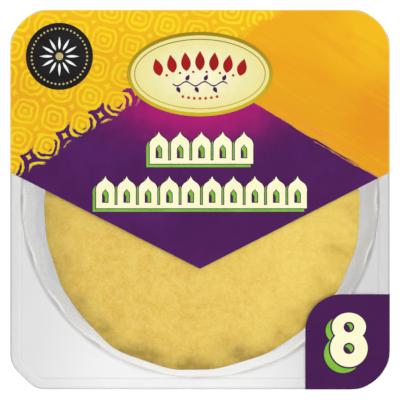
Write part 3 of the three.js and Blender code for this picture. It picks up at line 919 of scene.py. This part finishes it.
def dimple_and_rim_shade(number, share, angle):
    """How dark a papadum is drawn: painted shade in its dimples, and darker along its rim, most on the
    side turned from the key light, where it is painted shade.
    """
    _, width, dip = rim_at(number, angle)
    deep = dip**2 * (width / FLUTE_WIDTH) ** 1.5
    dimple = np.exp(-(((share - DIMPLE_AT) / DIMPLE_SPREAD) ** 2)) * deep
    # Painted shade falls most on the side turned from the key light
    side = (0.5 + 0.5 * np.cos(turned(number, angle) - SHADE_SIDE * DEGREE)) ** 2
    edge, near_edge, outer = [smooth_step((share - start) / run) for start, run in RIM_SHADE_BANDS]
    rim = edge * (0.1 + 0.42 * side) + near_edge * 0.4 * side**2 + outer * 0.08
    return np.clip((0.24 + 0.14 * side) * dimple + rim, 0, DARKEST_SHADE)


def relief(number, share, x, y, upper, dented):
    """Fine relief of a papadum's face and its dents, weaker below, which run out towards the rim."""
    height = 0
    for i, (tall, size) in enumerate(LUMPS):
        height = height + tall * soft_noise(x, y, size, 10 * number + i)
    if number == PAPADUMS and upper:
        height = height + blisters(x, y, 10 * number + 2) - DENT_DEPTH * dented
    start, run = RELIEF_FADE
    return height * (1 - smooth_step((share - start) / run)) * (1 if upper else 0.6)


def build_papadum(number, rest, material):
    """A papadum from its middle out over its upper face, round its rim and back along its lower face."""
    top = number == PAPADUMS
    steps, count = TOP_MESH if top else LOWER_MESH
    angle = np.arange(count) * 2 * math.pi / count
    shift = disc_shift(number)
    reach = disc_radius(number, angle)
    half = DISC_THICKNESS / 2
    inner = 1 - half / TOP_RADIUS
    shares = inner * (1 - (1 - np.linspace(0, 1, steps + 1)[1:]) ** 1.15)
    loops = []
    shade_marks = [0.0]

    def loop(share, side, out=0.0, up=1.0):
        """Add the loop at a share of the radius, on the upper side for 1 and the lower for -1."""
        radius = share * reach + out
        x, y = radius * np.cos(angle), radius * np.sin(angle)
        dented = dents(x, y) if top and side > 0 else 0
        middle = rest + disc_wave(number, share, angle)
        z = middle + side * half * up + relief(number, share, x, y, side > 0, dented)
        loops.append(np.column_stack([x + shift[0], y + shift[1], z]))
        # Painted shade in the dimples, the dents and along the rim
        shade_marks.extend(np.minimum(dimple_and_rim_shade(number, share, angle) + dented, DARKEST_SHADE))

    for share in shares:
        loop(share, 1)
    for t in (30, 60, 90, 120, 150):
        side = 1 if t <= 90 else -1
        loop(inner, side, half * math.sin(t * DEGREE), abs(math.cos(t * DEGREE)))
    for share in shares[::-1]:
        loop(share, -1)
    shade_marks.append(0.0)
    points, faces = skin(loops, (*shift, rest + half), (*shift, rest - half))
    name = f"papadum_crisp_{number}"
    made = piece(name, points, faces, material, True, f"papadum_{number}")
    mark_points(made, "painted_shade", shade_marks)


# Print

def ellipse(centre, half_x, half_y, count=96):
    return [
        (centre[0] + half_x * math.cos(t), centre[1] + half_y * math.sin(t))
        for t in (i * 2 * math.pi / count for i in range(count))
    ]


def mirrored(side, tip):
    """The right side of a shape, its tip, and its left side."""
    return [*side, tip, *[(-u, v) for u, v in reversed(side)]]


def arch_row(row, grow=0, narrow=0, shift=(0, 0)):
    """Outline of a row of arches made larger all round by grow, and openings made smaller by narrow."""
    count, pitch, height = row["count"], row["pitch"], row["height"]
    left = row["centre"][0] + shift[0] - count * pitch / 2
    foot = row["centre"][1] + shift[1]
    half = ARCH_FILL * pitch / 2
    bar = foot + ARCH_BAR + grow
    wide = 1 - narrow / (OPENING_SIDE[0][0] * half)
    tall = 1 - narrow / ((OPENING_MIDDLE - OPENING_SIDE[0][1]) * height)
    middle = foot + OPENING_MIDDLE * height
    outline = [
        (left + pitch / 2 - half - grow, foot - grow),
        (left + (count - 0.5) * pitch + half + grow, foot - grow),
    ]
    openings = []
    for i in range(count - 1, -1, -1):
        x = left + (i + 0.5) * pitch
        outline.append((x + half + grow, bar))
        for u, v in mirrored(ARCH_SIDE, ARCH_TIP):
            up = TIP_GROWTH if u == 0 else v
            outline.append((x + u * (half + grow), foot + v * height + grow * up))
        outline.append((x - half - grow, bar))
        openings.append([
            (x + u * half * wide, middle + (v - OPENING_MIDDLE) * height * tall)
            for u, v in mirrored(OPENING_SIDE, OPENING_TIP)
        ])
    return outline, openings


def reach_at(lobe, height):
    """Half the width of an ellipse at a height."""
    (_, middle), half_x, half_y = lobe
    return half_x * math.sqrt(max(1 - ((height - middle) / half_y) ** 2, 0))


def crossing(low, high):
    """The height at which the outlines of two ellipses, one above the other, cross."""
    below, above = low[0][1], high[0][1]
    for _ in range(40):
        waist = (below + above) / 2
        if reach_at(low, waist) > reach_at(high, waist):
            below = waist
        else:
            above = waist
    return waist


def numeral(grow=0, narrow=0, shift=(0, 0), rise=0):
    """A plain eight, larger by grow, its holes smaller by narrow and its upper lobe higher by rise."""
    lobes = []
    holes = []
    for lobe, lift in ((NUMERAL_LOWER, 0), (NUMERAL_UPPER, rise)):
        centre = (lobe["centre"][0] + shift[0], lobe["centre"][1] + shift[1] + lift)
        radius = lobe["hole"] - narrow
        lobes.append((centre, lobe["half"][0] + grow, lobe["half"][1] + grow))
        holes.append(ellipse(centre, radius, radius, 40))
    waist = crossing(*lobes)
    outline = []
    for (centre, half_x, half_y), lower in zip(lobes, (True, False)):
        end = math.asin((waist - centre[1]) / half_y)
        if lower:
            turns = np.linspace(math.pi - end, 2 * math.pi + end, 60)
        else:
            turns = np.linspace(end, math.pi - end, 60)[1:-1]
        outline += [(centre[0] + half_x * math.cos(t), centre[1] + half_y * math.sin(t)) for t in turns]
    return outline, holes


def petal(centre, length, width, turn, start=0.0):
    """A pointed petal without holes that begins start away from a centre."""
    points = []
    c, s = math.cos(turn * DEGREE), math.sin(turn * DEGREE)
    for side, ends in ((1, (0, 1)), (-1, (1, 0))):
        for t in np.linspace(*ends, PETAL_POINTS)[:-1]:
            along = start + length * t
            across = side * width / 2 * math.sin(math.pi * t**0.8)
            points.append((centre[0] + along * c - across * s, centre[1] + along * s + across * c))
    return points, []


def dots(places, radius, count=24):
    return [(ellipse(place, radius, radius, count), []) for place in places]


def build_fields():
    """Colour the model's own film, the lid's ground and dark field, and the corner patch."""
    lid = lid_material()
    looks = {
        "lid_film": film_material(), "print_ground": lid, "print_field": lid,
        "print_patch": ink_material("patch"),
    }
    for node, material in looks.items():
        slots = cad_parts[node].data.materials
        slots.clear()
        slots.append(material)


def build_raised(name, layer, shadow, dark, face, inks):
    """A pale shape over a larger dark one, above its shadow."""
    green, purple, cream = inks
    plates(f"{name}_shadow", [shadow], layer, green, f"print_{name}_shadow", INK)
    plates(f"{name}_outline", [dark], layer + 1, purple)
    plates(f"{name}_face", [face], layer + 1.5, cream, f"print_{name}")


def build_title(inks):
    """The two rows of arches, and the numeral."""
    for name, row in ARCH_ROWS.items():
        shadow = arch_row(row, *ARCH_SHADOW_GROWTH, ARCH_SHADOW)
        dark = arch_row(row, OUTLINE, OUTLINE)
        build_raised(f"{name}_arches", 2, shadow, dark, arch_row(row), inks)
    shadow = numeral(*NUMERAL_SHADOW_GROWTH, NUMERAL_SHADOW, SHADOW_RISE)
    dark = numeral(NUMERAL_OUTLINE, NUMERAL_OUTLINE)
    build_raised("numeral", 1, shadow, dark, numeral(), inks)


def bowed(row, off):
    """The place off steps from the middle of one of the badge's rows, which bends up by its rise."""
    return BADGE[0] + row["pitch"] * off, BADGE[1] + row["height"] + row["rise"] * off**2


def build_flames(red):
    """Seven flames that lean outwards from the middle, with a bead between each two of them."""
    flames = []
    for off in range(-3, 4):
        length = FLAMES["length"] - FLAMES["shrink"] * abs(off)
        turn = 90 - FLAMES["lean"] * off
        flames.append(petal(bowed(FLAMES, off), length, FLAMES["width"], turn))
    plates("badge_flames", flames, 4, red)
    beads = [bowed(BEAD_ROW, off) for off in np.arange(-2.5, 3)]
    plates("badge_beads", dots(beads, BEAD_ROW["radius"]), 4, red)


def build_vine(purple):
    """A wavy stem with leaves on both sides of it in turn."""
    reach, half = VINE["reach"], VINE["half"]
    along = np.linspace(-reach, reach, 60)
    height = BADGE[1] + VINE["height"] + np.sin(along * 2 * math.pi / VINE["wave"])
    stem = [*zip(along, height + half), *zip(along[::-1], height[::-1] - half)]
    plates("badge_vine", [(stem, [])], 4, purple)
    leaves = []
    for i in range(LEAF["count"]):
        x = LEAF["first"] + LEAF["pitch"] * i
        up = 1 if i % 2 else -1
        y = BADGE[1] + VINE["height"] + math.sin(x * 2 * math.pi / VINE["wave"]) + up * LEAF["off"]
        leaves.append(petal((x, y), LEAF["length"], LEAF["width"], up * LEAF["lean"]))
    plates("badge_leaves", leaves, 4, purple)


def build_badge(purple):
    """An oval badge with seven red flames, a purple vine and a row of dots."""
    rim = rim_material()
    oval = ellipse(BADGE, *BADGE_HALF)
    insets = (BADGE_RIM, RING_INSET, RING_INSET + RING_WIDTH)
    face, outside, inside = [ellipse(BADGE, *[h - inset for h in BADGE_HALF]) for inset in insets]
    plates("badge_rim", [(oval, [])], 2, rim, "print_badge_rim", INK)
    plates("badge_face", [(face, [])], 3, badge_material(), "print_badge", INK)
    plates("badge_ring", [(outside, [inside])], 4, rim)
    build_flames(ink_material("red"))
    build_vine(purple)
    low = dots([bowed(DOT_ROW, off) for off in range(-3, 4)], DOT_ROW["radius"])
    plates("badge_dots", low, 4, ink_material("rust"))


def build_roundel():
    """A dark disc with a ring of beads round a flower."""
    charcoal = ink_material("charcoal")
    bronze = ink_material("bronze")
    disc = dots([ROUNDEL], ROUNDEL_RADIUS, 96)
    plates("roundel_disc", disc, 1, charcoal, "print_roundel", INK)
    ring = ellipse(ROUNDEL, BEAD_RING["radius"], BEAD_RING["radius"], BEAD_RING["count"])
    plates("roundel_beads", dots(ring, BEAD_RING["bead"]), 2, bronze)
    petals = []
    for i in range(PETALS["count"]):
        turn = i * 360 / PETALS["count"]
        petals.append(petal(ROUNDEL, PETALS["length"], PETALS["width"], turn, PETALS["start"]))
    plates("roundel_petals", petals, 2, ink_material("white"))
    plates("roundel_heart", dots([ROUNDEL], HEART_RADIUS, 40), 2, bronze)


def build_print():
    green, purple, cream = [ink_material(name) for name in ("green", "purple", "cream")]
    build_fields()
    build_title((green, purple, cream))
    build_badge(purple)
    build_roundel()


# Studio

def area_light(name, place, size, power):
    light = bpy.data.lights.new(name, "AREA")
    light.shape = "RECTANGLE"
    light.size, light.size_y = size
    light.energy = power
    made = link(name, light)
    made.location = place
    made.rotation_euler = (Vector(LIT_PLACE) - Vector(place)).to_track_quat("-Z", "Y").to_euler()


def build_world():
    """White light from all round, dimmer from straight above so that the lid mirrors little of it."""
    world = bpy.data.worlds.new("studio")
    world.use_nodes = True
    tree = world.node_tree
    direction = tree.nodes.new("ShaderNodeTexCoord").outputs["Generated"]
    split = tree.nodes.new("ShaderNodeSeparateXYZ")
    tree.links.new(direction, split.inputs[0])
    dim = tree.nodes.new("ShaderNodeMapRange")
    for key, value in SKY.items():
        dim.inputs[key].default_value = value
    tree.links.new(split.outputs["Z"], dim.inputs["Value"])
    tree.links.new(dim.outputs[0], tree.nodes["Background"].inputs["Strength"])
    tree.nodes["Background"].inputs["Color"].default_value = (1, 1, 1, 1)
    bpy.context.scene.world = world


def build_floor():
    side = FLOOR_HALF
    floor = bpy.data.meshes.new("floor")
    corners = [(-side, -side, 0), (side, -side, 0), (side, side, 0), (-side, side, 0)]
    floor.from_pydata(corners, [], [(0, 1, 2, 3)])
    floor.materials.append(floor_material())
    link("floor", floor)


def build_camera():
    camera = bpy.data.cameras.new("camera")
    camera.lens = CAMERA_LENS
    camera.sensor_width = SENSOR_WIDTH
    camera.clip_end = 20
    made = link("camera", camera)
    made.location = CAMERA_PLACE
    bpy.context.scene.camera = made


def build_studio():
    bpy.context.scene.view_settings.view_transform = "Standard"
    build_world()
    build_floor()
    for name, (place, size, power) in LIGHTS.items():
        area_light(name, place, size, power)
    build_camera()


build_studio()
build_tray(plastic_material())
crisp = crisp_material()
for index, height in enumerate(resting_heights()):
    build_papadum(index + 1, height, crisp)
build_print()
